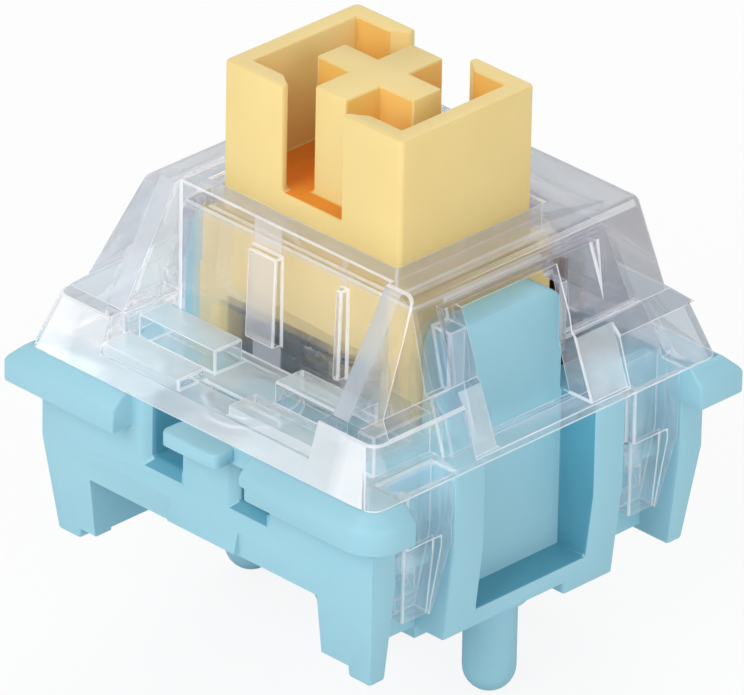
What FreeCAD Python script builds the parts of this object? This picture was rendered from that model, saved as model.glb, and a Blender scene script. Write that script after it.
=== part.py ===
import FreeCAD, Part
import os
import re

# Plate-mounted mechanical keyboard switch, in millimetres.
# The origin lies on the axis of the centre post, on the face that sits on the circuit board.
# +Z points to the keycap, -Y to the side with the lamp recess, X runs along the fixing pins.

os.makedirs("parts", exist_ok=True)
doc = FreeCAD.newDocument("KeyboardSwitch")
sheet = doc.addObject("Spreadsheet::Sheet", "Sizes")
sheet_rows = []

# Fits between pieces
slide_gap = 0.07
pole_gap = 0.10
seat_gap = 0.02
collar_gap = 0.20
clip_gap = 0.08
terminal_gap = 0.05
lamp_gap = 0.04
stop_gap = 0.05
hinge_gap = 0.03
travel = 4.0

# Bottom housing: body and flange
body_width = 13.96
foot_width = 13.2
draft_height = 3.2
plate_height = 5.0
flange_thickness = 1.25
flange_width = 15.6
flange_corner = 1.2
flange_slope = 0.46
front_gap_west = 3.1
front_gap_east = 2.2

# Bottom housing: hollow and guides
floor_height = 1.2
guide_spacing = 8.9
guide_thickness = 1.1
guide_south = 2.5
guide_north = 2.3
guide_head_room = 0.83
guide_round = 0.85
front_room = 0.3
rear_room = 0.37
tube_wall = 0.35
tube_head_room = 0.6
bore_room = 0.2

# Bottom housing: sides
pillar_length = 7.14
pillar_step = 0.4
pillar_step_north = 1.5
pillar_step_rim = 0.35
niche_length = 4.6
niche_sill = 1.05
clip_wall = 1.0
clip_wall_step = 0.25
clip_wall_step_south = 0.45
ledge_reach = 0.5
ledge_low = 2.8
ledge_high = 3.4

# Bottom housing: lamp recess, windows and tongue
recess_west = 5.0
recess_east = 4.6
recess_height = 2.4
lamp_offset = 5.08
lamp_radius = 1.5
foot_step = 0.35
foot_rim = 0.9
tongue_width = 2.48
window_width = 1.18
window_depth = 1.4
back_window_depth = 0.8
window_height = 2.08
window_bevel = 0.3
window_top = 0.85
lip_west = 1.12
lip_east = 1.2
lip_drop = 0.27
lip_thickness = 0.46
lip_corner = 0.28
latch_width = 2.84
latch_low = 2.55
latch_high = 3.3
latch_reach = 0.18

# Pegs under the bottom housing
post_radius = 2.0
post_straight = 1.2
post_length = 2.95
post_tip_radius = 1.25
pin_spacing = 10.16
pin_radius = 0.82
pin_length = 3.2

# Top housing: shell
skirt_inset = 0.5
skirt_slope = 0.58
skirt_height = 1.8
shelf_height = 0.45
shelf_inset = 0.52
tower_slope = 0.65
tower_height = 3.1
tower_edge = 0.4
shell_corner = 0.5
roof_thickness = 0.95
tower_wall = 0.8
skirt_wall = 1.1
front_wall = 0.5
collar_length = 6.1

# Top housing: open front and tray
front_slope_top = 4.0
front_slope_foot = 7.2
cheek_width = 2.32
tray_thickness = 0.68
lens_cover = 0.3
tray_lip = 6.95
front_block_rise = 0.35
front_block_back = 5.85
back_block_rise = 0.77
back_block_front = 5.45
back_block_back = 4.3
notch_west = 1.2
notch_east = 0.88
notch_back_east = 1.3
slot_place = 6.0
slot_width = 0.18
slot_west = 2.4
slot_east = 2.2
slot_depth = 0.3
rib_place = 0.7
rib_width = 1.2
rib_reach = 0.36
rib_head_reach = 0.26
rib_foot = 0.77
thin_rib_place = 2.5
thin_rib_width = 0.26

# Top housing: side windows and clips
slant_drop = 0.73
slant_high_inset = 0.2
slant_low_inset = 0.2
slant_south = 2.95
slant_north = 3.5
pane_south = 1.95
pane_north = 2.0
pane_low = 0.25
pane_drop = 0.15
clip_thickness = 0.62
clip_width = 1.7
clip_offset = 0.63
clip_foot = 1.65
clip_foot_width = 1.1
clip_knee = 3.95
clip_block_height = 2.0
clip_block_side = 0.2
clip_block_width = 1.45
clip_rib_tip = 0.12
clip_rib_rise = 0.1
barb_height = 0.6
barb_reach = 0.42

# Stem
stem_length = 7.4
stem_width = 5.54
stem_top = 15.5
stem_edge = 0.18
stem_wall = 0.62
notch_width = 2.5
well_floor = 12.0
cross_length = 4.05
cross_bar = 1.17
cross_bar_wide = 1.29
cap_post_diameter = 5.6
shoulder_width = 6.0
shoulder_low = 7.9
spring_seat = 9.2
shoulder_wall = 0.7
leg_thickness = 0.7
leg_place = 2.95
leg_width = 0.9
leg_room = 0.8
leg_nose = 0.4
leg_reach = 0.5
leg_reach_top = 0.12
corner_leg_place = 3.2
pole_radius = 1.35
pole_tip = 2.6
pole_tip_round = 0.35

# Return spring
coil_gap = 0.19
coil_room = 0.09
wire_diameter = 0.22
coil_turns = 11
wire_sides = 8

# Contacts
sheet_thickness = 0.2
leaf_thickness = 0.15
first_pin_west = 3.81
first_pin_north = 2.54
second_pin_east = 2.54
second_pin_north = 5.08
blade_width = 0.95
blade_thickness = 0.3
blade_length = 2.6
fixed_plate_width = 4.4
fixed_plate_top = 8.4
fixed_foot_height = 0.55
contact_gap = 0.33
leaf_width = 7.4
leaf_top = 9.2
leaf_slot_width = 4.9
leaf_slot_low = 3.2
leaf_slot_high = 6.0
roll_radius = 0.1
bump_place = 6.8
bump_height = 0.6
moving_plate_width = 3.2
moving_plate_top = 3.4
point_place = 7.3
point_radius = 0.35
point_rise = 0.05
moving_point_rise = 0.12


def write_cell(name, value):
    row = len(sheet_rows) + 1
    sheet.set("A%d" % row, name)
    sheet.set("B%d" % row, str(value))
    sheet.setAlias("B%d" % row, name)
    sheet_rows.append(name)


# Every size above becomes a cell of the sheet under its own name
driving_sizes = {name: value for name, value in vars().items() if type(value) in (int, float)}
for name, value in driving_sizes.items():
    write_cell(name, value)

# Levels that follow from the sizes
seam = "(plate_height + flange_thickness)"
skirt_top = "(%s + skirt_height)" % seam
tower_foot = "(%s + shelf_height)" % skirt_top
roof_top = "(%s + tower_height)" % tower_foot
roof_low = "(%s - roof_thickness)" % roof_top
tray_top = "(%s + tray_thickness)" % seam
lip_top = "(%s - lip_drop)" % seam
guide_top = "(%s - guide_head_room)" % roof_low
shoulder_top = "(%s - stop_gap)" % roof_low
tube_top = "(spring_seat - travel - tube_head_room)"
bore_depth = "(travel + bore_room - pole_tip)"
leg_foot = "(floor_height + travel + leg_room)"
roll_height = "(floor_height + sheet_thickness + hinge_gap + roll_radius)"
above = "(stem_top + travel)"
below = "(-plate_height)"

# Faces that follow from the sizes
outside = "(flange_width)"
half_body = "(body_width / 2)"
half_foot = "(foot_width / 2)"
half_flange = "(flange_width / 2)"
half_skirt = "(%s - skirt_inset)" % half_flange
half_skirt_top = "(%s - skirt_slope)" % half_skirt
half_tray = "(%s - cheek_width)" % half_skirt_top
half_tower = "(%s - shelf_inset)" % half_skirt_top
half_top = "(%s - tower_slope)" % half_tower
half_pillar = "(pillar_length / 2)"
half_tongue = "(tongue_width / 2)"
clip_near = "(%s + clip_gap)" % half_pillar
clip_place = "(%s + clip_offset)" % half_pillar
clip_far = "(%s + clip_width)" % clip_place
clip_end = "(%s + clip_gap)" % clip_far
guide_inner = "(guide_spacing / 2)"
guide_outer = "(%s + guide_thickness)" % guide_inner
clip_wall_face = "(%s + clip_wall)" % guide_inner
clip_inner = "(%s + ledge_reach + clip_gap)" % clip_wall_face
clip_outer = "(%s + clip_thickness)" % clip_inner
half_shoulder = "(%s - slide_gap)" % guide_inner
half_depth = "(shoulder_width / 2)"
hollow_south = "(%s + front_room)" % half_depth
hollow_north = "(second_pin_north + blade_thickness / 2 + rear_room)"
front_wall_face = "(%s + front_wall)" % hollow_south
bore_radius = "(pole_radius + pole_gap)"
tube_radius = "(%s + tube_wall)" % bore_radius
coil_radius = "(%s + coil_gap + wire_diameter / 2)" % tube_radius
cam_face = "(%s + leg_reach)" % half_depth
fixed_plate_face = "(%s + terminal_gap)" % cam_face
fixed_plate_back = "(%s + sheet_thickness)" % fixed_plate_face
leaf_face = "(%s + point_rise + contact_gap + moving_point_rise)" % fixed_plate_back
leaf_middle = "(%s + leaf_thickness / 2)" % leaf_face


# Turns sheet names in a formula into references to the sheet
def bound(formula):
    return re.sub(r"[a-z_]+", lambda word: "Sizes." + word.group(), str(formula))


def bind(item, **formulas):
    for path, formula in formulas.items():
        item.setExpression(path.replace("__", "."), bound(formula))
    return item


# Span of a feature on the positive side, or its mirror image where side is -1
def span(low, high, side=1):
    if side > 0:
        return (low, high)
    return ("-(%s)" % high, "-(%s)" % low)


def both(half):
    return ("-(%s)" % half, half)


def around(middle, width, side=1):
    return span("%s - %s / 2" % (middle, width), "%s + %s / 2" % (middle, width), side)


# Straight block between two faces on each axis
def block(name, x, y, z):
    item = doc.addObject("Part::Box", name)
    bind(item, Length="(%s) - (%s)" % (x[1], x[0]), Width="(%s) - (%s)" % (y[1], y[0]))
    bind(item, Height="(%s) - (%s)" % (z[1], z[0]), Placement__Base__x=x[0])
    return bind(item, Placement__Base__y=y[0], Placement__Base__z=z[0])


# Block whose lower and upper rectangles differ
def taper(name, z, low_x, low_y, high_x, high_y):
    item = doc.addObject("Part::Wedge", name)
    item.Placement = FreeCAD.Placement(FreeCAD.Vector(), FreeCAD.Rotation(FreeCAD.Vector(1, 0, 0), 90))
    bind(item, Ymin=z[0], Ymax=z[1], Xmin=low_x[0], Xmax=low_x[1], X2min=high_x[0], X2max=high_x[1])
    bind(item, Zmin="-(%s)" % low_y[1], Zmax="-(%s)" % low_y[0])
    return bind(item, Z2min="-(%s)" % high_y[1], Z2max="-(%s)" % high_y[0])


def rod(name, radius, z, x="0", y="0"):
    item = doc.addObject("Part::Cylinder", name)
    bind(item, Radius=radius, Height="(%s) - (%s)" % (z[1], z[0]))
    return bind(item, Placement__Base__x=x, Placement__Base__y=y, Placement__Base__z=z[0])


# Short rod whose axis runs along Y
def stud(name, radius, y, z):
    item = doc.addObject("Part::Cylinder", name)
    item.Placement = FreeCAD.Placement(FreeCAD.Vector(), FreeCAD.Rotation(FreeCAD.Vector(1, 0, 0), -90))
    bind(item, Radius=radius, Height="(%s) - (%s)" % (y[1], y[0]))
    return bind(item, Placement__Base__y=y[0], Placement__Base__z=z)


# Rod along X, centred on X
def roll(name, radius, width, y, z):
    item = doc.addObject("Part::Cylinder", name)
    item.Placement = FreeCAD.Placement(FreeCAD.Vector(), FreeCAD.Rotation(FreeCAD.Vector(0, 1, 0), 90))
    bind(item, Radius=radius, Height=width, Placement__Base__x="-%s / 2" % width)
    return bind(item, Placement__Base__y=y, Placement__Base__z=z)


def fuse(name, pieces):
    item = doc.addObject("Part::MultiFuse", name)
    item.Shapes = pieces
    item.Refine = True
    return item


def cut(name, base, tools):
    item = doc.addObject("Part::Cut", name)
    item.Base = base
    item.Tool = tools[0] if len(tools) == 1 else fuse(name + "Tools", tools)
    item.Refine = True
    return item


# Tests that pick edges of a piece, given the height of its top
def is_upright(edge, top=0):
    along = edge.tangentAt(edge.FirstParameter)
    return abs(along.z) > 0.9


def is_round_corner(edge, top):
    middle = edge.CenterOfMass
    return is_upright(edge) and middle.x * middle.y < 0


def is_top(edge, top):
    ends = [corner.Z for corner in edge.Vertexes]
    return not is_upright(edge) and min(ends) > top - 0.001


def is_top_end(edge, top):
    along = edge.tangentAt(edge.FirstParameter)
    return abs(along.x) > 0.99 and is_top(edge, top)


def is_upright_or_top(edge, top):
    return is_upright(edge) or is_top(edge, top)


def is_pole_end(edge, top):
    return edge.Closed and edge.Vertexes[0].Z < top / 2


# Changes the edges of a piece that the given test picks
def edged(kind, name, base, size, picks):
    doc.recompute()
    top = base.Shape.BoundBox.ZMax
    item = doc.addObject(kind, name)
    item.Base = base
    reach = float(sheet.get(size))
    edges = enumerate(base.Shape.Edges)
    item.Edges = [(place + 1, reach, reach) for place, edge in edges if picks(edge, top)]
    return item


def rounded(name, base, radius, picks):
    return edged("Part::Fillet", name, base, radius, picks)


def sloped(name, base, reach, picks):
    return edged("Part::Chamfer", name, base, reach, picks)


def finish(item, label):
    item.Label = label
    nodes.append(item)


nodes = []


# Bottom housing: the moulded body that carries everything else
def make_bottom_housing():
    slab = block("FlangeSlab", both(half_flange), both(half_flange), ("plate_height", seam))
    slab = rounded("FlangeCorners", slab, "flange_corner", is_round_corner)
    slab = sloped("FlangeTop", slab, "flange_slope", is_top)
    gaps = []
    for side in (1, -1):
        front = span("-front_gap_east", "front_gap_west", side)
        gaps.append(block("FrontGap", front, span(half_body, outside, side), (below, above)))
        gaps.append(block("SideGap", span(half_body, outside, side), both(clip_end), (below, above)))
    flange = cut("Flange", slab, gaps)

    foot = taper("BodyFoot", ("0", "draft_height"), both(half_foot), both(half_foot),
                 both(half_body), both(half_body))
    trunk = block("BodyTrunk", both(half_body), both(half_body), ("draft_height", "plate_height"))
    solid = fuse("Body", [flange, foot, trunk])

    room = ("-" + hollow_south, hollow_north)
    tools = [block("Hollow", both(guide_inner), room, ("floor_height", above))]
    lamp_back = "-(lamp_offset - lamp_radius - lamp_gap)"
    tools.append(block("LampRecess", ("-recess_west", "recess_east"), ("-" + outside, lamp_back),
                       (below, "recess_height")))
    tools.append(rod("LampHole", "lamp_radius", ("recess_height", above), y="-lamp_offset"))
    for side in (1, -1):
        tools += side_cuts(side)
        tools += end_cuts(side)
    body = cut("BodyHollowed", solid, tools)

    extras = [body]
    for side in (1, -1):
        extras += side_extras(side)
        extras += tongue(side)
    extras += pegs()
    whole = fuse("BottomWhole", extras)
    bore = rod("PoleBore", bore_radius, ("-" + bore_depth, above))
    finish(cut("BottomHousing", whole, [bore] + terminal_slots()), "bottom_housing")


# Recesses for the clips, the niche and the stepped underside on one side
def side_cuts(side):
    tools = []
    niche = both("niche_length / 2")
    tools.append(block("Niche", span(guide_outer, outside, side), niche, ("niche_sill", above)))
    under = block("PillarStep", span(clip_wall_face, outside, side),
                  ("-%s" % half_pillar, "pillar_step_north"), (below, "pillar_step"))
    boss = rod("PinBoss", "pin_radius + pillar_step_rim", (below, above),
               x="%d * pin_spacing / 2" % side)
    tools.append(cut("PillarStepAroundPin", under, [boss]))
    clip_spans = [("-%s" % clip_end, "-%s" % half_pillar), (half_pillar, clip_end)]
    for clip_span, step_top in zip(clip_spans, ("clip_wall_step_south", "clip_wall_step")):
        recess = span(clip_wall_face, half_body, side)
        tools.append(block("ClipRecess", recess, clip_span, (below, above)))
        step = span(guide_inner, clip_wall_face, side)
        tools.append(block("ClipWallStep", step, clip_span, (below, step_top)))
    inner = "recess_east" if side > 0 else "recess_west"
    step = span(inner, "%s - foot_rim" % half_foot, side)
    tools.append(block("FrontFootStep", step, ("-" + outside, "-" + clip_end), (below, "foot_step")))
    return tools


# Windows beside the tongue, on the lamp side (side -1) and on the rear
def end_cuts(side):
    tools = []
    depth = "back_window_depth" if side > 0 else "window_depth"
    deep = span("%s - %s" % (half_body, depth), outside, side)
    far = "(%s + window_width)" % half_tongue
    foot = "(%s - window_height)" % seam
    for hand in (1, -1):
        head = "(%s - window_top)" % seam if hand * side < 0 else seam
        tools.append(block("Window", span(half_tongue, far, hand), deep, (foot, head)))
        tools.append(window_bevels(hand * side, side, far, foot, head))
    tools.append(block("TongueTop", both(half_tongue), deep, (lip_top, above)))
    return tools


# Bevels beside and below a window
def window_bevels(hand, side, far, foot, head):
    item = doc.addObject("Part::Wedge", "WindowBevels")
    turn = FreeCAD.Rotation(FreeCAD.Vector(0, 0, 1), 0 if side > 0 else 180)
    item.Placement = FreeCAD.Placement(FreeCAD.Vector(), turn)
    narrow = span(half_tongue, far, hand)
    wide = span("%s - window_bevel" % half_tongue, "%s + window_bevel" % far, hand)
    bind(item, Ymin="%s - window_bevel" % half_body, Ymax=half_body)
    bind(item, Xmin=narrow[0], Xmax=narrow[1], X2min=wide[0], X2max=wide[1])
    return bind(item, Zmin=foot, Zmax=head, Z2min="%s - window_bevel" % foot, Z2max=head)


# Guide block and clip ledges on one side
def side_extras(side):
    guide = block("Guide", span(guide_inner, guide_outer, side), ("-guide_south", "guide_north"),
                  ("floor_height / 2", guide_top))
    guide = rounded("GuideRound", guide, "guide_round", is_top_end)
    reach = span(guide_outer, "%s + ledge_reach" % clip_wall_face, side)
    south = block("LedgeSouth", reach, ("-" + clip_end, "-" + half_pillar), ("ledge_low", "ledge_high"))
    north = block("LedgeNorth", reach, (half_pillar, clip_end), ("ledge_low", "ledge_high"))
    return [guide, south, north]


# Lip and latch wedge on the tongue
def tongue(side):
    root = "%s - latch_reach" % half_body
    long = span("-lip_west", "lip_east", -side)
    lip = block("Lip", long, span(root, half_flange, side), (lip_top + " - lip_thickness", lip_top))
    lip = rounded("LipCorners", lip, "lip_corner", is_upright)
    low = span(root, "%s + latch_reach" % half_body, side)
    high = span(root, half_body, side)
    latch = taper("Latch", ("latch_low", "latch_high"), both("latch_width / 2"), low,
                  both("latch_width / 2"), high)
    return [lip, latch]


# Guide tube, centre post and the two fixing pins
def pegs():
    items = [rod("GuideTube", tube_radius, ("0", tube_top))]
    items.append(rod("CentrePost", "post_radius", ("-post_straight", "floor_height")))
    tip = doc.addObject("Part::Cone", "PostTip")
    bind(tip, Radius1="post_tip_radius", Radius2="post_radius", Height="post_length - post_straight")
    items.append(bind(tip, Placement__Base__z="-post_length"))
    for side in (1, -1):
        place = "%d * pin_spacing / 2" % side
        straight = "-(pin_length - pin_radius)"
        items.append(rod("FixingPin", "pin_radius", (straight, "niche_sill"), x=place))
        end = doc.addObject("Part::Sphere", "FixingPinEnd")
        bind(end, Radius="pin_radius", Placement__Base__x=place, Placement__Base__z=straight)
        items.append(end)
    return items


def terminal_slots():
    wide = "(blade_width + 2 * terminal_gap)"
    deep = "(blade_thickness + 2 * terminal_gap)"
    tall = (below, "floor_height")
    first = block("FirstSlot", around("first_pin_west", wide, -1), around("first_pin_north", deep), tall)
    second = block("SecondSlot", around("second_pin_east", wide), around("second_pin_north", deep), tall)
    return [first, second]


# Top housing: the clear shell with its tray, collar, side windows and clips
def make_top_housing():
    skirt = taper("Skirt", (seam, skirt_top), both(half_skirt), both(half_skirt),
                  both(half_skirt_top), both(half_skirt_top))
    skirt = rounded("SkirtCorners", skirt, "shell_corner", is_upright)
    shelf = taper("Shelf", (skirt_top, tower_foot), both(half_skirt_top), both(half_skirt_top),
                  both(half_tower), both(half_tower))
    tower = taper("Tower", (tower_foot, roof_top), both(half_tower), both(half_tower),
                  both(half_top), both(half_top))
    tower = rounded("TowerEdges", tower, "tower_edge", is_upright_or_top)
    front = taper("FrontSlope", (seam, roof_top), both(outside), ("-" + outside, "-front_slope_foot"),
                  both(outside), ("-" + outside, "-front_slope_top"))
    upper = cut("SlopedTower", fuse("ShelfAndTower", [shelf, tower]), [front])
    outer = fuse("Shell", [skirt, upper])
    tray_room = block("TrayRoom", both(half_tray), ("-" + outside, "-" + front_wall_face),
                      (tray_top, above))
    shaped = cut("ShellWithTray", outer, [tray_room])
    solid = fuse("ShellWithBlocks", [shaped] + tray_blocks() + front_ribs())

    tools = [block("Collar", both("stem_length / 2 + collar_gap"), both("collar_length / 2"),
                   (tray_top, above))]
    tools += shell_hollows()
    for side in (1, -1):
        tools += side_windows(side)
    tools.append(rod("LampLens", "lamp_radius", (below, "%s - lens_cover" % tray_top), y="-lamp_offset"))
    groove = around("slot_place", "slot_width", -1)
    tools.append(block("TraySlot", ("-slot_west", "slot_east"), groove,
                       ("%s - slot_depth" % tray_top, tray_top)))
    shell = cut("ShellHollowed", solid, tools)
    clips = []
    for side in (1, -1):
        clips += clip(side, -1)
        clips += clip(side, 1)
    finish(fuse("TopHousing", [shell] + clips), "top_housing")


def tray_blocks():
    root = seam
    front = ("-tray_lip", "-front_block_back")
    back = ("-back_block_front", "-back_block_back")
    front_tall = (root, "%s + front_block_rise" % tray_top)
    back_tall = (root, "%s + back_block_rise" % tray_top)
    west = ("-" + half_tray, "-notch_west")
    return [
        block("FrontBlockWest", west, front, front_tall),
        block("FrontBlockEast", ("notch_east", half_tray), front, front_tall),
        block("BackBlockWest", west, back, back_tall),
        block("BackBlockEast", ("notch_back_east", half_tray), back, back_tall),
    ]


# Upright ribs on the wall between the tray and the stem
def front_ribs():
    root = "-" + hollow_south
    low = ("-(%s + rib_reach)" % front_wall_face, root)
    high = ("-(%s + rib_head_reach)" % front_wall_face, root)
    tall = ("%s + rib_foot" % tray_top, roof_low)
    broad = around("rib_place", "rib_width", -1)
    thin = around("thin_rib_place", "thin_rib_width")
    return [
        taper("BroadRib", tall, broad, low, broad, high),
        taper("ThinRib", tall, thin, low, thin, high),
    ]


def shell_hollows():
    low_skirt = "(%s - skirt_wall)" % half_skirt
    high_skirt = "(%s - skirt_wall)" % half_skirt_top
    low_tower = "(%s - tower_wall)" % half_tower
    high_tower = "(%s - tower_wall)" % half_top
    south = "-" + hollow_south
    skirt_room = taper("SkirtRoom", (seam, skirt_top), both(low_skirt), (south, low_skirt),
                       both(high_skirt), (south, high_skirt))
    tower_room = taper("TowerRoom", (skirt_top, roof_low), both(low_tower), (south, low_tower),
                       both(high_tower), (south, high_tower))
    guide_room = block("GuideRoom", both("%s + clip_gap" % guide_outer),
                       ("-(guide_south + clip_gap)", "guide_north + clip_gap"),
                       (below, "%s + clip_gap" % guide_top))
    corners = []
    for side in (1, -1):
        wide = span("%s + front_wall" % half_tray, high_skirt, side)
        deep = ("-%s" % high_skirt, south)
        corners.append(block("CornerRoom", wide, deep, (below, "%s - front_wall" % skirt_top)))
    return [skirt_room, tower_room, guide_room] + corners


# Slanted pane pocket and the open window in it
def side_windows(side):
    pane_foot = "(%s + pane_low)" % seam
    long = ("-slant_south", "slant_north")
    low = span("%s - slant_low_inset" % half_skirt, outside, side)
    high = span("%s - slant_high_inset" % half_top, outside, side)
    slant = taper("SlantPocket", (pane_foot, "%s - slant_drop" % roof_top), low, long, high, long)
    pane = block("Pane", span(guide_inner, outside, side), ("-pane_south", "pane_north"),
                 (pane_foot, "%s - pane_drop" % roof_low))
    return [slant, pane]


# One clip leg. Each leg has its straight edge to the south and its sloped edge, with a rib, to the north
def clip(side, end):
    start = clip_place if end > 0 else "(-%s - clip_width)" % clip_near
    full = leg_span(start, "0", "clip_width")
    tip = leg_span(start, "0", "clip_foot_width")
    ridge = leg_span(start, "clip_block_width - clip_block_side", "clip_width")
    ridge_tip = leg_span(start, "clip_foot_width - clip_rib_tip", "clip_foot_width")
    root = "(%s + pane_low)" % seam
    block_foot = "(%s - clip_block_height)" % seam
    flush = "(%s - seat_gap)" % half_body
    across = span(clip_inner, clip_outer, side)
    deep = span(clip_inner, flush, side)
    raised = leg_span(start, "-clip_block_side", "clip_block_width - clip_block_side")
    items = [block("ClipBlock", deep, raised, (block_foot, root))]
    items.append(block("ClipRoot", across, span(clip_near, clip_far, end), (block_foot, root)))
    items.append(block("ClipPanel", across, full, ("clip_knee", root)))
    items.append(taper("ClipFoot", ("clip_foot", "clip_knee"), across, tip, across, full))
    items.append(block("ClipRib", deep, ridge, ("clip_knee", root)))
    low_ridge = span(clip_inner, "%s + clip_rib_rise" % clip_outer, side)
    items.append(taper("ClipRibFoot", ("clip_foot", "clip_knee"), low_ridge, ridge_tip, deep, ridge))
    barb_top = "(ledge_low - clip_gap)"
    items.append(taper("Barb", ("%s - barb_height" % barb_top, barb_top),
                       span("%s - clip_gap" % clip_inner, clip_outer, side), tip,
                       span("%s - barb_reach" % clip_inner, clip_outer, side), tip))
    return items


def leg_span(start, low, high):
    return ("%s + %s" % (start, low), "%s + %s" % (start, high))


# Stem: cross and walls for the keycap, shoulders, cam legs and guide pole
def make_stem():
    half_stem = "(stem_length / 2)"
    half_width = "(stem_width / 2)"
    post = block("StemPost", both(half_stem), both(half_width), ("spring_seat", "stem_top"))
    post = rounded("StemPostEdges", post, "stem_edge", is_upright)
    well_tall = ("well_floor", above)
    wells = [block("Well", both("%s - stem_wall" % half_stem), both("%s - stem_wall" % half_width),
                   well_tall)]
    wells.append(rod("KeycapPostRoom", "cap_post_diameter / 2", well_tall))
    wells.append(block("WallNotches", both("notch_width / 2"), both(outside), well_tall))
    upper = cut("StemUpper", post, wells)
    half_cross = "cross_length / 2"
    cross_tall = ("spring_seat", "stem_top")
    cross = [block("CrossAlongX", both(half_cross), both("cross_bar / 2"), cross_tall)]
    cross.append(block("CrossAlongY", both("cross_bar_wide / 2"), both(half_cross), cross_tall))

    shoulder = block("Shoulders", both(half_shoulder), both(half_depth), ("shoulder_low", shoulder_top))
    shoulder = rounded("ShoulderCorners", shoulder, "stem_edge", is_upright)
    room = block("SpringRoom", both("%s - shoulder_wall" % half_shoulder),
                 both("%s + wire_diameter / 2 + coil_room" % coil_radius), (below, "spring_seat"))
    lower = cut("ShouldersHollowed", shoulder, [room])
    legs = []
    for side in (1, -1):
        legs += stem_legs(side)
    pole = rod("Pole", "pole_radius", ("pole_tip", "well_floor"))
    pole = rounded("PoleTip", pole, "pole_tip_round", is_pole_end)
    finish(fuse("Stem", [upper, lower, pole] + cross + legs), "stem")


# Corner legs that run between the guides, and the cam that lifts the leaf contact
def stem_legs(side):
    wide = span("corner_leg_place", half_shoulder, side)
    tall = (leg_foot, "shoulder_low + leg_thickness")
    cam_low = "(%s + leg_nose)" % leg_foot
    inner = "(%s - leg_thickness)" % half_depth
    items = [block("LegSouth", wide, span(inner, half_depth, -1), tall)]
    items.append(block("LegNorth", wide, span(inner, half_depth), tall))
    across = span("leg_place", "leg_place + leg_width", side)
    nose = (inner, "%s + leg_reach_top" % half_depth)
    full = (inner, cam_face)
    items.append(taper("CamNose", (leg_foot, cam_low), across, nose, across, full))
    items.append(taper("Cam", (cam_low, shoulder_top), across, full, across, nose))
    return items


# Return spring: an open coil between the floor and the stem
def make_return_spring():
    foot = "(floor_height + wire_diameter / 2 + seat_gap)"
    head = "(spring_seat - wire_diameter / 2 - seat_gap)"
    path = doc.addObject("Part::Helix", "SpringPath")
    bind(path, Radius=coil_radius, Height="%s - %s" % (head, foot), Placement__Base__z=foot)
    bind(path, Pitch="(%s - %s) / coil_turns" % (head, foot))
    wire = doc.addObject("Part::RegularPolygon", "SpringWire")
    wire.Polygon = wire_sides
    wire.Placement = FreeCAD.Placement(FreeCAD.Vector(), FreeCAD.Rotation(FreeCAD.Vector(1, 0, 0), 90))
    bind(wire, Circumradius="wire_diameter / 2", Placement__Base__x=coil_radius, Placement__Base__z=foot)
    doc.recompute()
    sweep = doc.addObject("Part::Sweep", "ReturnSpring")
    sweep.Sections = [wire]
    sweep.Spine = (path, ["Edge%d" % (place + 1) for place in range(len(path.Shape.Edges))])
    sweep.Solid = True
    sweep.Frenet = True
    finish(sweep, "return_spring")


# Fixed contact: an upright sheet in front of the leaf, with the first pin
def make_fixed_terminal():
    half_plate = "(fixed_plate_width / 2)"
    thick = (fixed_plate_face, fixed_plate_back)
    plate = block("FixedPlate", both(half_plate), thick, ("floor_height", "fixed_plate_top"))
    west = "-(first_pin_west + blade_width / 2)"
    foot = block("FixedFoot", (west, half_plate), thick,
                 ("floor_height", "floor_height + fixed_foot_height"))
    low = "(first_pin_north - blade_thickness / 2)"
    arm = block("FixedArm", (west, west + " + blade_width"), (low, fixed_plate_back),
                ("floor_height", "floor_height + sheet_thickness"))
    pin = blade("FirstPin", "-first_pin_west", "first_pin_north")
    finish(fuse("FixedTerminal", [plate, foot, arm, pin]), "fixed_terminal")
    point = stud("FixedPoint", "point_radius", (fixed_plate_back, fixed_plate_back + " + point_rise"),
                 "point_place")
    finish(point, "fixed_contact_point")


# Flat pin that passes through the floor and the circuit board
def blade(name, x, y):
    return block(name, around(x, "blade_width"), around(y, "blade_thickness"),
                 ("-blade_length", "floor_height + sheet_thickness"))


# Terminal under the leaf contact, with the second pin
def make_moving_terminal():
    across = around("second_pin_east", "moving_plate_width")
    foot = block("MovingFoot", across, ("%s - sheet_thickness" % leaf_middle, "second_pin_north"),
                 ("floor_height", "floor_height + sheet_thickness"))
    plate = block("MovingPlate", across, around("second_pin_north", "sheet_thickness"),
                  ("floor_height", "moving_plate_top"))
    pin = blade("SecondPin", "second_pin_east", "second_pin_north")
    finish(fuse("MovingTerminal", [foot, plate, pin]), "moving_terminal")


# Leaf contact: rolled at its foot, open in the middle, with two bumps for the cams
def make_contact_leaf():
    thick = (leaf_face, "%s + leaf_thickness" % leaf_face)
    blank = block("LeafSheet", both("leaf_width / 2"), thick, (roll_height, "leaf_top"))
    gap = block("LeafGap", both("leaf_slot_width / 2"), both(outside),
                ("leaf_slot_low", "leaf_slot_high"))
    sheet_part = cut("LeafBlank", blank, [gap])
    pieces = [sheet_part, roll("LeafRoll", "roll_radius", "leaf_width", leaf_middle, roll_height)]
    for side in (1, -1):
        across = span("leg_place", "leaf_width / 2", side)
        rising = taper("BumpLow", ("bump_place - bump_height", "bump_place"),
                       across, thick, across, (fixed_plate_face, leaf_face))
        falling = taper("BumpHigh", ("bump_place", "bump_place + bump_height"),
                        across, (fixed_plate_face, leaf_face), across, thick)
        pieces += [rising, falling]
    finish(fuse("ContactLeaf", pieces), "contact_leaf")
    point = stud("MovingPoint", "point_radius", ("%s - moving_point_rise" % leaf_face, leaf_face),
                 "point_place")
    finish(point, "moving_contact_point")


make_bottom_housing()
make_top_housing()
make_stem()
make_return_spring()
make_fixed_terminal()
make_moving_terminal()
make_contact_leaf()
doc.recompute()

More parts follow.
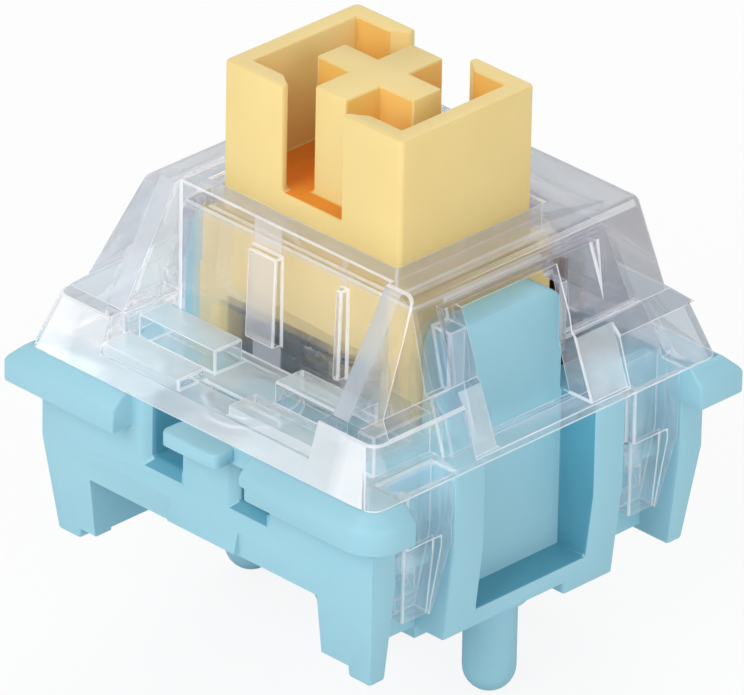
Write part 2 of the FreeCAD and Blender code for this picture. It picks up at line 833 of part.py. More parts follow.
faults = [item.Name for item in doc.Objects if "Invalid" in item.State or "Error" in item.State]
for node in nodes:
    if node.Shape.isNull() or not node.Shape.isValid():
        faults.append(node.Label)
if faults:
    raise RuntimeError("These objects failed: " + ", ".join(faults))

for node in nodes:
    node.Shape.exportStep("parts/%s.step" % node.Label)
    box = node.Shape.BoundBox
    print(node.Label, len(node.Shape.Solids), "solid", round(node.Shape.Volume, 3), "mm3",
          [round(value, 2) for value in (box.XMin, box.XMax, box.YMin, box.YMax, box.ZMin, box.ZMax)])
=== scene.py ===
import bpy, bmesh, math
from mathutils import Matrix, Vector
from mathutils.bvhtree import BVHTree


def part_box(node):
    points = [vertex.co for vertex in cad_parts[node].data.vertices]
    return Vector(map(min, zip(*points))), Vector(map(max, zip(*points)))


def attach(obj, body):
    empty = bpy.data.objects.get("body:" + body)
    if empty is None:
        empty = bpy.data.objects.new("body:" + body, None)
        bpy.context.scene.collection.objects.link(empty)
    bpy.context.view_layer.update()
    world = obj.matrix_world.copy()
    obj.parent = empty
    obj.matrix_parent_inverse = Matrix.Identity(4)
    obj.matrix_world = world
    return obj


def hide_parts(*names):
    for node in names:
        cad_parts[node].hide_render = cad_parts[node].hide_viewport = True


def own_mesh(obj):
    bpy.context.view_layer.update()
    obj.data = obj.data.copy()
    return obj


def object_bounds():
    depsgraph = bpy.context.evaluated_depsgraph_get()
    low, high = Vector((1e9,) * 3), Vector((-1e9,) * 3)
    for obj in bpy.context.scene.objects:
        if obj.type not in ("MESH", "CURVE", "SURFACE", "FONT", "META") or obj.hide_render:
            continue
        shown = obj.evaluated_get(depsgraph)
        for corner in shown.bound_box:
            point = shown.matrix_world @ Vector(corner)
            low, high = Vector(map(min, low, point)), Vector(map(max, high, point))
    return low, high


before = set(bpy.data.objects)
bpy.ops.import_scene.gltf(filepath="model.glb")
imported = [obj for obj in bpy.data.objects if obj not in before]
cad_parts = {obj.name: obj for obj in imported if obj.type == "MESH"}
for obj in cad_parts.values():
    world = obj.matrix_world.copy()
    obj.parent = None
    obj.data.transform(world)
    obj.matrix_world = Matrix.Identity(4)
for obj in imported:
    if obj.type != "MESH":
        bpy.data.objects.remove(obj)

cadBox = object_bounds()  # the box of the solids, before anything is added
mm = 0.001
print("frame loaded:", ", ".join(sorted(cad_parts)))


def hexColour(text):
    # sRGB hex to linear
    parts = [int(text[i:i + 2], 16) / 255 for i in (1, 3, 5)]
    return tuple(c / 12.92 if c <= 0.04045 else ((c + 0.055) / 1.055) ** 2.4 for c in parts) + (1.0,)


def addNode(tree, kind, settings=None, inputs=None, links=None):
    # one node with its settings, socket values and incoming links
    node = tree.nodes.new(kind)
    for name, value in (settings or {}).items():
        setattr(node, name, value)
    for name, value in (inputs or {}).items():
        node.inputs[name].default_value = value
    for name, source in (links or {}).items():
        tree.links.new(source, node.inputs[name])
    return node


def newMaterial(name):
    material = bpy.data.materials.new(name)
    material.use_nodes = True
    material.node_tree.nodes.clear()
    return material, material.node_tree


def finishTree(tree, shader, output="ShaderNodeOutputMaterial"):
    addNode(tree, output, links={"Surface": shader.outputs[0]})


# what all moulded plastic, all clear plastic and all metal here have in common
plasticSkin = {"grainHeightMm": 0.01}
clearSkin = {"rippleHeightMm": 0.05, "toneSpan": (0.3, 0.7)}
metalSkin = {"lineDepth": 0.2, "lineHeightMm": 0.002, "toneSpan": (0.35, 0.65)}


# moulded thermoplastic: a soft satin skin with a very fine spark-eroded grain and slow drifts of tone.
# fadeMm gives two heights between which the tone runs from deep to plain: painted shade and glow, deepest low
# in a hollow, where the plastic would glow through itself
def mouldedPlastic(name, look):
    material, tree = newMaterial(name)
    place = addNode(tree, "ShaderNodeTexCoord").outputs["Object"]
    grain = addNode(tree, "ShaderNodeTexNoise", inputs={"Scale": 1 / (look["grainMm"] * mm), "Detail": 4.0},
                    links={"Vector": place})
    if "fadeMm" in look:
        height = addNode(tree, "ShaderNodeSeparateXYZ", links={"Vector": place})
        low, high = look["fadeMm"]
        shade = addNode(tree, "ShaderNodeMapRange", {"interpolation_type": "SMOOTHSTEP"},
                        {"From Min": low * mm, "From Max": high * mm}, {"Value": height.outputs["Z"]})
        amount = shade.outputs["Result"]
    else:
        drift = addNode(tree, "ShaderNodeTexNoise",
                        inputs={"Scale": 1 / (look["driftMm"] * mm), "Detail": 2.0}, links={"Vector": place})
        amount = drift.outputs["Fac"]
    tone = addNode(tree, "ShaderNodeValToRGB", links={"Fac": amount})
    for stop, position, colour in zip(tone.color_ramp.elements, look["toneSpan"], look["tones"]):
        stop.position = position
        stop.color = hexColour(colour)
    rough = addNode(tree, "ShaderNodeMapRange",
                    inputs={"To Min": look["roughLow"], "To Max": look["roughHigh"]},
                    links={"Value": grain.outputs["Fac"]})
    bump = addNode(tree, "ShaderNodeBump",
                   inputs={"Strength": look["grainDepth"], "Distance": plasticSkin["grainHeightMm"] * mm},
                   links={"Height": grain.outputs["Fac"]})
    shader = addNode(tree, "ShaderNodeBsdfPrincipled",
                     inputs={"IOR": look["ior"], "Subsurface Weight": look["glow"],
                             "Subsurface Radius": look["glowRadius"],
                             "Subsurface Scale": look["glowMm"] * mm},
                     links={"Base Color": tone.outputs["Color"], "Roughness": rough.outputs["Result"],
                            "Normal": bump.outputs["Normal"]})
    finishTree(tree, shader)
    return material


# polycarbonate, moulded in a polished tool: clear, faintly lavender, with a little ripple and haze.
# the walls are thin, so most of what lies behind shows unbent, which the alpha gives.
# the bands list painted light from west to east: the plastic is drawn cloudier and whiter where ribs and
# thick corners stand behind it and gather light
def clearPlastic(name, look):
    material, tree = newMaterial(name)
    place = addNode(tree, "ShaderNodeTexCoord").outputs["Object"]
    ripple = addNode(tree, "ShaderNodeTexNoise",
                     inputs={"Scale": 1 / (look["rippleMm"] * mm), "Detail": 1.0}, links={"Vector": place})
    haze = addNode(tree, "ShaderNodeTexNoise",
                   inputs={"Scale": 1 / (look["hazeMm"] * mm), "Detail": 3.0}, links={"Vector": place})
    rough = addNode(tree, "ShaderNodeMapRange",
                    inputs={"To Min": look["roughLow"], "To Max": look["roughHigh"]},
                    links={"Value": haze.outputs["Fac"]})
    bump = addNode(tree, "ShaderNodeBump",
                   inputs={"Strength": look["rippleDepth"], "Distance": clearSkin["rippleHeightMm"] * mm},
                   links={"Height": ripple.outputs["Fac"]})
    shader = addNode(tree, "ShaderNodeBsdfPrincipled",
                     inputs={"IOR": look["ior"], "Alpha": look["alpha"], "Specular IOR Level": look["shine"],
                             "Transmission Weight": look["clear"]},
                     links={"Roughness": rough.outputs["Result"], "Normal": bump.outputs["Normal"]})
    amount = haze.outputs["Fac"]
    # bands of painted light across the shell, whiter and less clear
    if "paintedLightBandsMm" in look:
        (west, westLight), *inner, (east, eastLight) = look["paintedLightBandsMm"]
        along = addNode(tree, "ShaderNodeSeparateXYZ", links={"Vector": place})
        spread = addNode(tree, "ShaderNodeMapRange", inputs={"From Min": west * mm, "From Max": east * mm},
                         links={"Value": along.outputs["X"]})
        bands = addNode(tree, "ShaderNodeValToRGB", links={"Fac": spread.outputs["Result"]})
        stops = bands.color_ramp.elements
        for distance, bandLight in inner:
            stops.new((distance - west) / (east - west)).color = (bandLight, bandLight, bandLight, 1)
        for stop, bandLight in ((stops[0], westLight), (stops[-1], eastLight)):
            stop.color = (bandLight, bandLight, bandLight, 1)
        amount = bands.outputs["Color"]
        for socket, plain, paintedLevel in (("Transmission Weight", look["clear"], look["paintedLightClear"]),
                                      ("Alpha", look["alpha"], look["paintedLightAlpha"])):
            level = addNode(tree, "ShaderNodeMapRange", inputs={"To Min": plain, "To Max": paintedLevel},
                            links={"Value": amount})
            tree.links.new(level.outputs["Result"], shader.inputs[socket])
    tone = addNode(tree, "ShaderNodeValToRGB", links={"Fac": amount})
    for stop, position, colour in zip(tone.color_ramp.elements, clearSkin["toneSpan"], look["tones"]):
        stop.position = position
        stop.color = hexColour(colour)
    tree.links.new(tone.outputs["Color"], shader.inputs["Base Color"])
    # lamplight passes with a light tint, so that the clear shell casts only a faint shadow
    lampWay = addNode(tree, "ShaderNodeBsdfTransparent", inputs={"Color": hexColour(look["shadowTint"])})
    rays = addNode(tree, "ShaderNodeLightPath")
    mix = addNode(tree, "ShaderNodeMixShader", links={
        0: rays.outputs["Is Shadow Ray"], 1: shader.outputs[0], 2: lampWay.outputs[0]})
    finishTree(tree, mix)
    return material


# bare metal: drawn wire or rolled strip, with fine lines along the drawing direction
def rolledMetal(name, look):
    material, tree = newMaterial(name)
    place = addNode(tree, "ShaderNodeTexCoord").outputs["Object"]
    turned = addNode(tree, "ShaderNodeMapping", inputs={"Scale": look["stretch"]}, links={"Vector": place})
    lines = addNode(tree, "ShaderNodeTexNoise", inputs={"Scale": 1 / (look["lineMm"] * mm), "Detail": 3.0},
                    links={"Vector": turned.outputs["Vector"]})
    stain = addNode(tree, "ShaderNodeTexNoise", inputs={"Scale": 1 / (look["stainMm"] * mm), "Detail": 2.0},
                    links={"Vector": place})
    tone = addNode(tree, "ShaderNodeValToRGB", links={"Fac": stain.outputs["Fac"]})
    for stop, position, colour in zip(tone.color_ramp.elements, metalSkin["toneSpan"], look["tones"]):
        stop.position = position
        stop.color = hexColour(colour)
    rough = addNode(tree, "ShaderNodeMapRange",
                    inputs={"To Min": look["roughLow"], "To Max": look["roughHigh"]},
                    links={"Value": lines.outputs["Fac"]})
    bump = addNode(tree, "ShaderNodeBump",
                   inputs={"Strength": metalSkin["lineDepth"], "Distance": metalSkin["lineHeightMm"] * mm},
                   links={"Height": lines.outputs["Fac"]})
    shader = addNode(tree, "ShaderNodeBsdfPrincipled", inputs={"Metallic": 1.0},
                     links={"Base Color": tone.outputs["Color"], "Roughness": rough.outputs["Result"],
                            "Normal": bump.outputs["Normal"]})
    finishTree(tree, shader)
    return material


def deselectAll():
    if bpy.context.object and bpy.context.object.mode != "OBJECT":
        bpy.ops.object.mode_set(mode="OBJECT")
    bpy.ops.object.select_all(action="DESELECT")


# rolled edges: which edges are sharp, how many facets they get, when the rounded mesh counts as crossed,
# and how much finer an edge is then made. the shares are of an edge's own width
rolling = {"segments": 2, "sharpDegrees": 28, "flatDegrees": 0.6, "strayShare": 0.45, "nearShare": 1.5,
           "foldedTurn": -0.3, "foldedMm2": 0.002, "emptyMm2": 1e-6, "attempts": 9, "finer": 0.4,
           "finest": 0.1}


# corners of the rounded mesh that left the solid's surface or folded over
def crossedCorners(piece, surface, edgeMm):
    rounded = piece.evaluated_get(bpy.context.evaluated_depsgraph_get())
    mesh = rounded.to_mesh()
    mesh.calc_loop_triangles()
    stray = rolling["strayShare"] * edgeMm * mm
    crossed = []
    for triangle in mesh.loop_triangles:
        if triangle.area < rolling["emptyMm2"] * mm * mm:
            continue
        a, b, c = (mesh.vertices[i].co for i in triangle.vertices)
        middle = (a + b + c) / 3
        folded = (triangle.area > rolling["foldedMm2"] * mm * mm
                  and surface.find_nearest(middle)[1].dot(triangle.normal) < rolling["foldedTurn"])
        spots = (middle, (a + b) / 2, (b + c) / 2, (a + c) / 2)
        if folded or any(surface.find_nearest(spot)[3] > stray for spot in spots):
            crossed += [a.copy(), b.copy(), c.copy()]
    rounded.to_mesh_clear()
    return crossed


# how wide each sharp edge may be rolled over: where faces would cross, it is made finer until they don't
def fittedWeights(piece, edgeMm):
    solid = bmesh.new()
    solid.from_mesh(piece.data)
    surface = BVHTree.FromBMesh(solid)
    sharp = math.radians(rolling["sharpDegrees"])
    ends = [tuple(vertex.co.copy() for vertex in edge.verts) for edge in solid.edges]
    weights = [float(len(edge.link_faces) == 2 and edge.calc_face_angle(0) > sharp) for edge in solid.edges]
    solid.free()
    piece.data.attributes.new("bevel_weight_edge", "FLOAT", "EDGE")
    near = rolling["nearShare"] * edgeMm * mm
    fewest = None
    for attempt in range(rolling["attempts"]):
        piece.data.attributes["bevel_weight_edge"].data.foreach_set("value", weights)
        piece.data.update()
        crossed = crossedCorners(piece, surface, edgeMm)
        if fewest is None or len(crossed) < fewest[0]:
            fewest = (len(crossed), list(weights))
        if not crossed:
            break
        for number, (a, b) in enumerate(ends):
            if weights[number] and any(min((p - a).length, (p - b).length) < near for p in crossed):
                wide = weights[number] > rolling["finest"]
                weights[number] = weights[number] * rolling["finer"] if wide else 0.0
    corners, weights = fewest
    piece.data.attributes["bevel_weight_edge"].data.foreach_set("value", weights)
    piece.data.update()
    print("  edges rolled:", sum(weight > 0 for weight in weights), "corners still crossed:", corners // 3)


# a moulded or stamped piece: the solid's faces, merged and with every sharp edge rolled over.
# an edge material becomes the piece's second one, on the rolled edges alone
def dressed(node, name, look, edgeMaterial=None):
    deselectAll()
    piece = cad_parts[node].copy()
    piece.data = piece.data.copy()
    piece.name = name
    piece.data.name = name
    bpy.context.scene.collection.objects.link(piece)
    piece.hide_render = False
    piece.hide_viewport = False
    piece.select_set(True)
    bpy.context.view_layer.objects.active = piece
    bpy.ops.object.mode_set(mode="EDIT")
    bpy.ops.mesh.select_all(action="SELECT")
    bpy.ops.mesh.remove_doubles(threshold=look["mergeMm"] * mm)
    bpy.ops.mesh.dissolve_limited(angle_limit=math.radians(rolling["flatDegrees"]))
    bpy.ops.object.mode_set(mode="OBJECT")
    piece.data.materials.clear()
    piece.data.materials.append(None)
    if edgeMaterial:
        piece.data.materials.append(edgeMaterial)
    bevel = piece.modifiers.new("rolledEdges", "BEVEL")
    bevel.material = 1 if edgeMaterial else -1
    bevel.width = look["edgeMm"] * mm
    bevel.segments = rolling["segments"]
    bevel.limit_method = "WEIGHT"
    bevel.use_clamp_overlap = False  # clamped, the finest moulded corners would keep every edge sharp
    bevel.harden_normals = False
    fittedWeights(piece, look["edgeMm"])
    bpy.ops.object.modifier_apply(modifier=bevel.name)
    bpy.ops.object.shade_smooth_by_angle(angle=math.radians(rolling["sharpDegrees"]))
    return piece


# inside a box that is mirrored to all four sides: its ranges of x and y, from the middle outwards, and of z
def inBox(spot, boxMm):
    return all(low <= value < high for value, (low, high) in zip((abs(spot.x), abs(spot.y), spot.z), boxMm))


# gives a finished piece its materials, in the order of its faces' numbers, hangs it on its body and hides the
# solid that it replaces
def handOver(piece, body, node, slot, *materials):
    for number, material in enumerate(materials):
        if number < len(piece.data.materials):
            piece.data.materials[number] = material
        else:
            piece.data.materials.append(material)
    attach(piece, body)
    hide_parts(node)


# bottom housing, pale blue; in its side niches and its small windows the faces are drawn a darker blue,
# painted shade, but a face in a niche that looks outwards isn't. tones run from deep to plain
bottomLook = {
    "tones": ("#94C8D6", "#9ACCDA"), "toneSpan": (0.3, 0.7), "driftMm": 4.0, "grainMm": 0.09,
    "grainDepth": 0.35, "roughLow": 0.4, "roughHigh": 0.55, "ior": 1.55, "glow": 0.1,
    "glowRadius": (0.5, 1.0, 1.2), "glowMm": 0.25, "edgeMm": 0.09, "mergeMm": 0.04,
    "recess": {"tones": ("#5098AE", "#589FB4")},
    "nicheMm": ((5.5, 6.95), (0, 2.35), (0.9, 9)), "windowMm": ((1.2, 2.5), (5.2, 6.9), (3.9, 6.3)),
    "outwards": 0.7,
}
bluePlastic = mouldedPlastic("blueMouldedNylon", bottomLook)
# the darker blue of the niches and windows is painted shade
recessPlastic = mouldedPlastic("blueNylonPaintedShade", dict(bottomLook, **bottomLook["recess"]))
bottom = dressed("bottom_housing", "baseShell", bottomLook)
# faces in the niches and windows take the darker blue: painted shade
for face in bottom.data.polygons:
    spot = face.center / mm
    inNiche = inBox(spot, bottomLook["nicheMm"]) and abs(face.normal.x) < bottomLook["outwards"]
    if inNiche or inBox(spot, bottomLook["windowMm"]):
        face.material_index = 1
handOver(bottom, "housing", "bottom_housing", "blue_plastic", bluePlastic, recessPlastic)
print("bottom housing dressed:", len(bottom.data.polygons), "faces")

# top housing, clear: polished walls, with the rolled edges drawn white as a painted highlight; the roof and
# the tray are drawn milkier, painted light for the light that they carry through their whole thickness, the
# front edge is drawn white, most at its corners, as painted light, and painted light draws a broad rib and a
# thin one in the front slope. each finish is the plain one with some changes.
# heights are in mm above the circuit board, and places in mm from the middle, negative towards the front
topLook = {
    "edgeMm": 0.07, "mergeMm": 0.04, "liftMm": 0.02, "onSeamMm": 0.001,
    "seamHeight": 6.25, "trayHeight": 8.0, "roofHeight": 11.3,
    "trayFront": -3.7, "frontEdge": -6.4, "rearSkirt": 4.0, "postNear": 2.1, "postFar": 3.2, "sideFace": 5.2,
    "level": 0.9, "slanted": 0.8, "sideways": 0.6,
    "plain": {
        "tones": ("#90909E", "#9E9EAB"), "shadowTint": "#F6F7FA", "rippleMm": 1.6, "rippleDepth": 0.05,
        "hazeMm": 0.9, "roughLow": 0.0, "roughHigh": 0.03, "ior": 1.28, "clear": 0.84, "alpha": 0.5,
        "shine": 1.0},
    "finishes": {
        "clearPolycarbonate": {},
        # white edges: painted highlight
        "polycarbonateEdgeHighlight": {
            "tones": ("#EDEFF4", "#FAFBFD"), "shadowTint": "#FFFFFF", "rippleMm": 1.0, "rippleDepth": 0.1,
            "hazeMm": 0.5, "roughLow": 0.1, "roughHigh": 0.25, "ior": 1.4, "clear": 0.12, "alpha": 0.72},
        # milky roof and tray: painted light
        "polycarbonateRoofPaintedLight": {
            "tones": ("#B8BCC6", "#C6CAD2"), "shadowTint": "#F4F5F9", "rippleMm": 1.2, "hazeMm": 0.8,
            "roughLow": 0.02, "roughHigh": 0.08, "clear": 0.45, "alpha": 0.62},
        "polycarbonateTrayPaintedLight": {
            "tones": ("#EEF2F4", "#FAFBFC"), "shadowTint": "#F4F5F9", "rippleMm": 1.2, "hazeMm": 0.8,
            "roughLow": 0.02, "roughHigh": 0.08, "clear": 0.4, "alpha": 0.54},
        "polycarbonateSkirt": {
            "tones": ("#E6E8ED", "#F2F3F6"), "shadowTint": "#F8F9FB", "rippleMm": 1.2, "rippleDepth": 0.06,
            "hazeMm": 0.7, "roughHigh": 0.05, "ior": 1.3, "clear": 0.8, "alpha": 0.4},
        # bands in the front slope: painted light
        "polycarbonateSlopePaintedRibLight": {
            "tones": ("#BDBDC9", "#D6D7E0"), "alpha": 0.36, "paintedLightClear": 0.25, "paintedLightAlpha": 0.72,
            "paintedLightBandsMm": ((-7, 0.1), (-5.2, 0.1), (-5.05, 0.7), (-4.4, 0.7), (-4.3, 0), (-1.34, 0),
                        (-1.26, 0.85), (-0.14, 0.85), (-0.06, 0), (2.35, 0), (2.4, 0.6), (2.6, 0.6),
                        (2.65, 0), (4.3, 0), (4.4, 0.7), (5.05, 0.7), (5.2, 0.1), (7, 0.1))},
        # white front face, whitest at its corners: painted light
        "polycarbonateFrontPaintedLight": {
            "tones": ("#E2E7EC", "#FAFBFD"), "shadowTint": "#F8F9FB", "rippleMm": 1.2, "rippleDepth": 0.06,
            "hazeMm": 0.7, "roughHigh": 0.05, "ior": 1.3, "clear": 0.55, "alpha": 0.5, "paintedLightClear": 0.05,
            "paintedLightAlpha": 0.75,
            "paintedLightBandsMm": ((-7, 1), (-6.1, 1), (-5.5, 0.5), (-1.6, 0.4), (1.6, 0.6), (5.3, 0.65), (5.8, 1),
                        (7, 1))},
    },
}


# the finish of a face of the clear shell, from its place in mm and the way it looks; roof, tray, front and
# slope finishes are painted light
def shellFinish(spot, normal):
    faceUp = normal.z > topLook["level"]
    besideWindow = topLook["postNear"] < abs(spot.y) < topLook["postFar"] and spot.z > topLook["seamHeight"]
    belowTray = spot.z < topLook["trayHeight"]
    if faceUp and spot.z > topLook["roofHeight"]:
        return "polycarbonateRoofPaintedLight"
    if besideWindow and abs(normal.x) > topLook["sideways"] and abs(spot.x) > topLook["sideFace"]:
        return "polycarbonateTrayPaintedLight"  # the posts get the tray's painted light too
    if faceUp and belowTray and spot.y < topLook["trayFront"]:
        return "polycarbonateTrayPaintedLight"
    if normal.y < -topLook["level"] and belowTray and spot.y < topLook["frontEdge"]:
        return "polycarbonateFrontPaintedLight"
    if normal.y < -topLook["slanted"] and spot.z > topLook["trayHeight"] and spot.y < topLook["trayFront"]:
        return "polycarbonateSlopePaintedRibLight"
    if spot.z < topLook["seamHeight"] or (belowTray and spot.y < topLook["rearSkirt"]):
        return "polycarbonateSkirt"
    return "clearPolycarbonate"


finishNames = list(topLook["finishes"])
polycarbonates = [clearPlastic(name, dict(topLook["plain"], **topLook["finishes"][name]))
                  for name in finishNames]
# the rolled edges take the white edge finish, a painted highlight
top = dressed("top_housing", "clearShell", topLook, polycarbonates[finishNames.index("polycarbonateEdgeHighlight")])
for point in top.data.vertices:
    if abs(point.co.z - topLook["seamHeight"] * mm) < topLook["onSeamMm"] * mm:
        point.co.z += topLook["liftMm"] * mm  # clear of the flange that it rests on
for face in top.data.polygons:
    if face.material_index != finishNames.index("polycarbonateEdgeHighlight"):
        face.material_index = finishNames.index(shellFinish(face.center / mm, face.normal))
handOver(top, "housing", "top_housing", "clear_plastic", *polycarbonates)
print("top housing dressed:", len(top.data.polygons), "faces")

# stem, warm yellow; the hollow round the cross deepens to orange towards its floor, painted shade and glow,
# but not the ends of the cross's arms
stemLook = {
    "tones": ("#EAD088", "#EDD58E"), "toneSpan": (0.3, 0.7), "driftMm": 3.0, "grainMm": 0.07,
    "grainDepth": 0.3, "roughLow": 0.45, "roughHigh": 0.6, "ior": 1.55, "glow": 0.15,
    "glowRadius": (1.2, 0.6, 0.2), "glowMm": 0.3, "edgeMm": 0.08, "mergeMm": 0.04,
    # deep orange towards the floor of the hollow: painted shade and glow
    "paintedWellGlow": {"tones": ("#F09420", "#EDBE60"), "toneSpan": (0.0, 1.0), "fadeMm": (11.6, 15.4)},
    "wellMm": ((0, 3.15), (0, 2.2), (11.9, 15.3)), "wellFloorMm": ((0, 3.2), (0, 2.2), (11.9, 12.1)),
    "armEndsMm": (((0, 0.7), (1.9, 2.2), (11.9, 15.3)), ((1.9, 3.15), (0, 0.6), (11.9, 15.3))),
    "level": 0.95,
}
yellowAcetal = mouldedPlastic("yellowAcetal", stemLook)
paintedWellGlowAcetal = mouldedPlastic("yellowAcetalPaintedWellGlow", dict(stemLook, **stemLook["paintedWellGlow"]))
stem = dressed("stem", "keyStem", stemLook)
# faces of the hollow round the cross take the orange: painted shade and glow
for face in stem.data.polygons:
    spot = face.center / mm
    faceUp = face.normal.z > stemLook["level"]
    armEnd = any(inBox(spot, box) for box in stemLook["armEndsMm"])
    onFloor = faceUp and inBox(spot, stemLook["wellFloorMm"])
    onWall = not faceUp and not armEnd and inBox(spot, stemLook["wellMm"])
    if onFloor or onWall:
        face.material_index = 1
handOver(stem, "stem", "stem", "yellow_plastic", yellowAcetal, paintedWellGlowAcetal)
print("stem dressed:", len(stem.data.polygons), "faces")

# return spring: round drawn wire, wound as one open coil
springLook = {
    "tones": ("#6E6A66", "#8D8A86"), "stainMm": 1.0, "lineMm": 0.05, "stretch": (1.0, 1.0, 0.2),
    "roughLow": 0.18, "roughHigh": 0.35, "turns": 11, "stepsPerTurn": 20, "wireMm": 0.22, "wireSteps": 2,
    "coilMm": 4.2, "strokeMm": 4.0,
}
springSteel = rolledMetal("springSteelWire", springLook)
springLow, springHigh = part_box("return_spring")
footHeight, headHeight = springLow[2], springHigh[2]
deselectAll()
curve = bpy.data.curves.new("coil", "CURVE")
curve.dimensions = "3D"
curve.bevel_depth = springLook["wireMm"] / 2 * mm
curve.bevel_resolution = springLook["wireSteps"]
curve.use_fill_caps = True
line = curve.splines.new("NURBS")
steps = springLook["turns"] * springLook["stepsPerTurn"]
line.points.add(steps)
radius = springLook["coilMm"] / 2 * mm
rise = headHeight - footHeight - springLook["wireMm"] * mm
for i in range(steps + 1):
    turn = 2 * math.pi * i / springLook["stepsPerTurn"]
    height = footHeight + springLook["wireMm"] / 2 * mm + rise * i / steps
    line.points[i].co = (radius * math.cos(turn), radius * math.sin(turn), height, 1)
line.order_u = 3
line.use_endpoint_u = True
coilCurve = bpy.data.objects.new("returnCoil", curve)
bpy.context.scene.collection.objects.link(coilCurve)
coilCurve.select_set(True)
bpy.context.view_layer.objects.active = coilCurve
bpy.ops.object.convert(target="MESH")
coil = bpy.context.object
bpy.ops.object.shade_smooth()
handOver(coil, "housing", "return_spring", "spring_steel", springSteel)
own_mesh(coil)
print("return spring wound:", len(coil.data.polygons), "faces")

# contacts: phosphor bronze strip, with gold alloy points
stripLook = {"tones": ("#7C6553", "#A98E73"), "stainMm": 1.4, "lineMm": 0.04, "stretch": (1.0, 1.0, 0.15),
             "roughLow": 0.2, "roughHigh": 0.4, "edgeMm": 0.02, "mergeMm": 0.0005}
pointLook = {"tones": ("#C79E55", "#D9B36A"), "stainMm": 0.6, "lineMm": 0.03, "stretch": (1.0, 1.0, 1.0),
             "roughLow": 0.15, "roughHigh": 0.3, "edgeMm": 0.015, "mergeMm": 0.0005}
phosphorBronze = rolledMetal("phosphorBronzeStrip", stripLook)
goldAlloy = rolledMetal("goldAlloyPoint", pointLook)
for node, name, body in (("fixed_terminal", "fixedContactStrip", "housing"),
                         ("moving_terminal", "movingContactRoot", "housing"),
                         ("contact_leaf", "movingContactLeaf", "leaf")):
    handOver(dressed(node, name, stripLook), body, node, "contact_bronze", phosphorBronze)
for node, name, body in (("fixed_contact_point", "fixedContactRivet", "housing"),
                         ("moving_contact_point", "movingContactRivet", "leaf")):
    handOver(dressed(node, name, pointLook), body, node, "gold_contact", goldAlloy)
print("contacts dressed")


# white where the camera looks, also through the clear plastic, and plain for all other light
def whiteWhereSeen(tree, plain, white, share):
    rays = addNode(tree, "ShaderNodeLightPath")
    seen = addNode(tree, "ShaderNodeMath", {"operation": "MAXIMUM"}, links={
        0: rays.outputs["Is Camera Ray"], 1: rays.outputs["Is Transmission Ray"]})
    part = addNode(tree, "ShaderNodeMath", {"operation": "MULTIPLY"}, {1: share}, {0: seen.outputs[0]})
    return addNode(tree, "ShaderNodeMixShader", links={
        0: part.outputs[0], 1: plain.outputs[0], 2: white.outputs[0]})


# floor: a plain pale sheet under the pins, which keeps the switch's shadow
floorLook = {"sizeM": 1.2, "tone": "#F2F2F3", "rough": 0.9, "grainPerM": 900.0, "grainDepth": 0.05,
             "grainHeightMm": 0.02, "white": "#FFFFFF", "whiteShare": 0.88}
lowest = cadBox[0][2]
deselectAll()
bpy.ops.mesh.primitive_plane_add(size=floorLook["sizeM"], location=(0, 0, lowest))
floor = bpy.context.object
floor.name = "floorSheet"
bpy.ops.object.transform_apply(location=True, rotation=True, scale=True)
paper, paperTree = newMaterial("matteWhitePaper")
paperPlace = addNode(paperTree, "ShaderNodeTexCoord").outputs["Object"]
paperGrain = addNode(paperTree, "ShaderNodeTexNoise",
                     inputs={"Scale": floorLook["grainPerM"], "Detail": 2.0}, links={"Vector": paperPlace})
paperBump = addNode(paperTree, "ShaderNodeBump",
                    inputs={"Strength": floorLook["grainDepth"], "Distance": floorLook["grainHeightMm"] * mm},
                    links={"Height": paperGrain.outputs["Fac"]})
paperFace = addNode(paperTree, "ShaderNodeBsdfPrincipled",
                    inputs={"Base Color": hexColour(floorLook["tone"]), "Roughness": floorLook["rough"]},
                    links={"Normal": paperBump.outputs["Normal"]})
paperWhite = addNode(paperTree, "ShaderNodeEmission", inputs={"Color": hexColour(floorLook["white"])})
finishTree(paperTree, whiteWhereSeen(paperTree, paperFace, paperWhite, floorLook["whiteShare"]))
floor.data.materials.append(paper)

# light: an even white room, with a large soft lamp in front and weaker ones at the right and behind
roomLook = {"tone": "#FCFCFF", "strength": 0.56, "white": "#FFFFFF", "whiteShare": 1.0}
world = bpy.context.scene.world or bpy.data.worlds.new("room")
bpy.context.scene.world = world
world.use_nodes = True
worldTree = world.node_tree
worldTree.nodes.clear()
roomLight = addNode(worldTree, "ShaderNodeBackground",
                    inputs={"Color": hexColour(roomLook["tone"]), "Strength": roomLook["strength"]})
roomWhite = addNode(worldTree, "ShaderNodeBackground", inputs={"Color": hexColour(roomLook["white"])})
finishTree(worldTree, whiteWhereSeen(worldTree, roomLight, roomWhite, roomLook["whiteShare"]),
           "ShaderNodeOutputWorld")


# the direction from the switch to something at an azimuth and elevation in degrees, 0 azimuth in front
def directionTo(azimuth, elevation):
    az = math.radians(azimuth)
    el = math.radians(elevation)
    return Vector((math.sin(az) * math.cos(el), -math.cos(az) * math.cos(el), math.sin(el)))


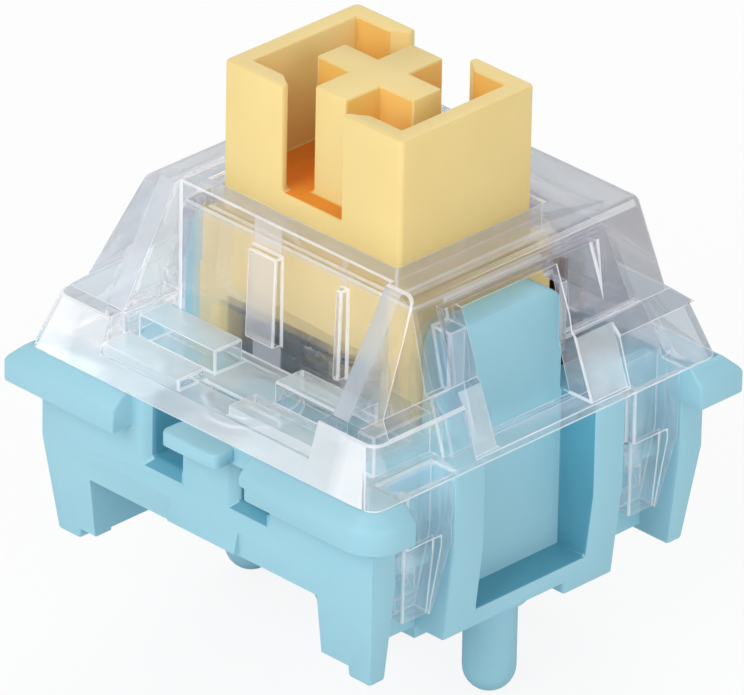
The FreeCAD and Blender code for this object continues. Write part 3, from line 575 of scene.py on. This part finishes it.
lampLook = {
    "keyLamp": {"azimuth": 4, "elevation": 33, "distanceM": 0.30, "sizeM": 0.20, "power": 0.44},
    "fillLamp": {"azimuth": 82, "elevation": 18, "distanceM": 0.35, "sizeM": 0.25, "power": 0.29},
    "rearLamp": {"azimuth": 210, "elevation": 45, "distanceM": 0.30, "sizeM": 0.2, "power": 0.2},
}
for name, look in lampLook.items():
    lampData = bpy.data.lights.new(name, "AREA")
    lampData.shape = "SQUARE"
    lampData.size = look["sizeM"]
    lampData.energy = look["power"]
    lamp = bpy.data.objects.new(name, lampData)
    away = directionTo(look["azimuth"], look["elevation"])
    lamp.location = away * look["distanceM"]
    lamp.rotation_euler = away.to_track_quat("Z", "Y").to_euler()
    bpy.context.scene.collection.objects.link(lamp)
print("floor and light set")

# camera: a long lens from the front right corner, at the angle measured on the photograph
cameraLook = {"azimuth": 44.58, "elevation": 28.14, "roll": 1.12, "distanceM": 0.35, "aimM": (0, 0, 0.006),
              "focalPixels": 11757, "imagePixels": 744, "rightPixels": 1.8, "downPixels": 9.3,
              "sensorMm": 36, "nearM": 0.01, "farM": 5}
az = math.radians(cameraLook["azimuth"])
roll = math.radians(cameraLook["roll"])
back = directionTo(cameraLook["azimuth"], cameraLook["elevation"])
right = Vector((math.cos(az), math.sin(az), 0))
up = back.cross(right)
tiltedRight = right * math.cos(roll) + up * math.sin(roll)
tiltedUp = up * math.cos(roll) - right * math.sin(roll)
cameraData = bpy.data.cameras.new("photoCamera")
cameraData.sensor_width = cameraLook["sensorMm"]
cameraData.lens = cameraLook["focalPixels"] / cameraLook["imagePixels"] * cameraData.sensor_width
cameraData.shift_x = -cameraLook["rightPixels"] / cameraLook["imagePixels"]
cameraData.shift_y = cameraLook["downPixels"] / cameraLook["imagePixels"]
cameraData.clip_start = cameraLook["nearM"]
cameraData.clip_end = cameraLook["farM"]
camera = bpy.data.objects.new("photoCamera", cameraData)
cameraSpot = Vector(cameraLook["aimM"]) + back * cameraLook["distanceM"]
cameraTurn = Matrix((tiltedRight, tiltedUp, back)).transposed()
camera.matrix_world = Matrix.Translation(cameraSpot) @ cameraTurn.to_4x4()
bpy.context.scene.collection.objects.link(camera)
bpy.context.scene.camera = camera
bpy.context.scene.view_settings.view_transform = "Standard"
print("camera set")
